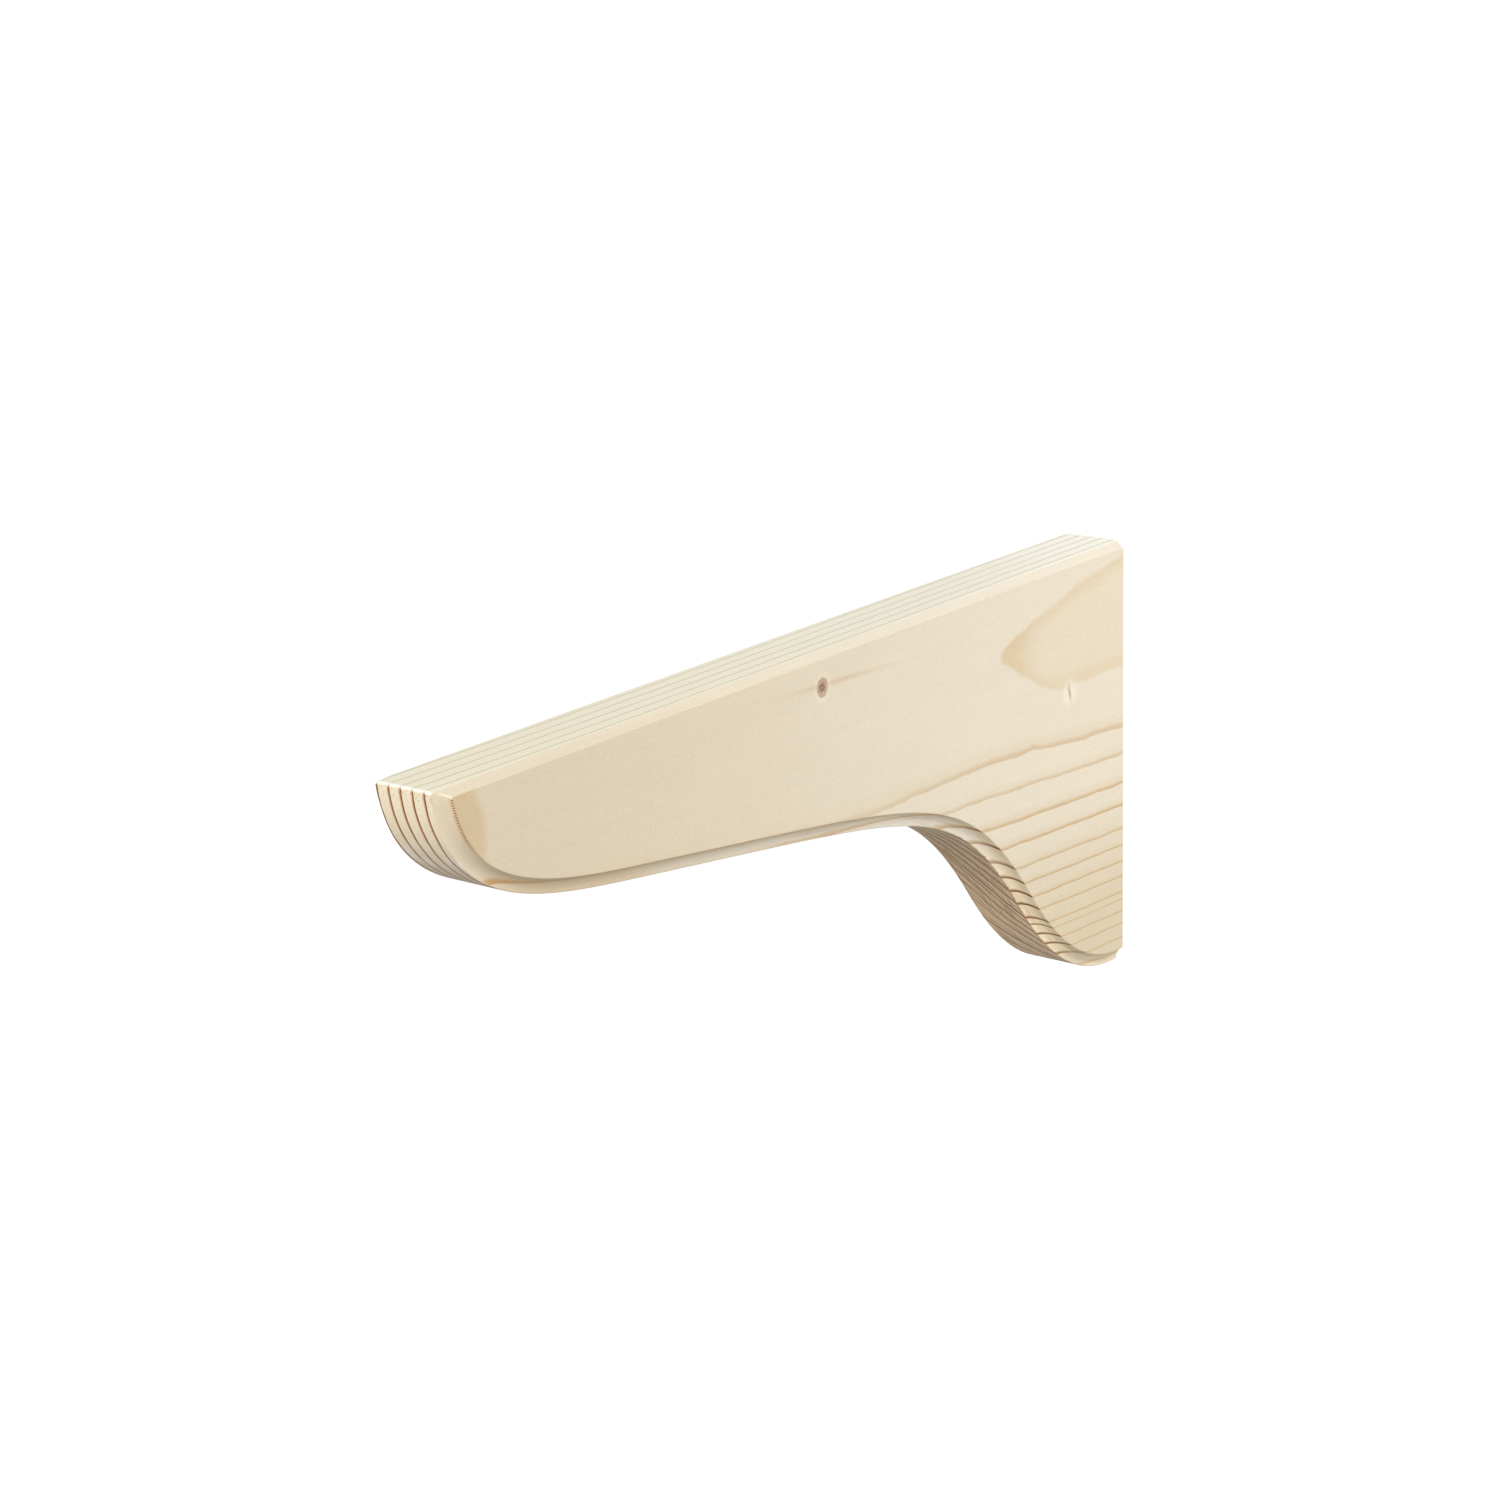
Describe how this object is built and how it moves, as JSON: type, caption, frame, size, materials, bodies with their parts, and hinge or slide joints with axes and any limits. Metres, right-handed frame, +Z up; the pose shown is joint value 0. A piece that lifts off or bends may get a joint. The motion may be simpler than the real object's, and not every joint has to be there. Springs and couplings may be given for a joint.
{
  "type": "wooden corbel bracket",
  "caption": "Small flat wooden corbel bracket with a scrolled underside, coved lower edges and a chamfered top, fixed to a wall to carry a shelf or a cornice.",
  "frame": {"origin": "middle of the back face that lies against the wall", "axes": "+Y out of the back face into the wall, so the arm reaches out along -Y; +Z up; X across the board's thickness"},
  "size_m": [0.018, 0.24, 0.106],
  "materials": {
    "pale_softwood": "planed and sawn, bare, unstained and unvarnished"
  },
  "bodies": {
    "root": {"corbel_bracket": "pale_softwood"}
  },
  "joints": []
}
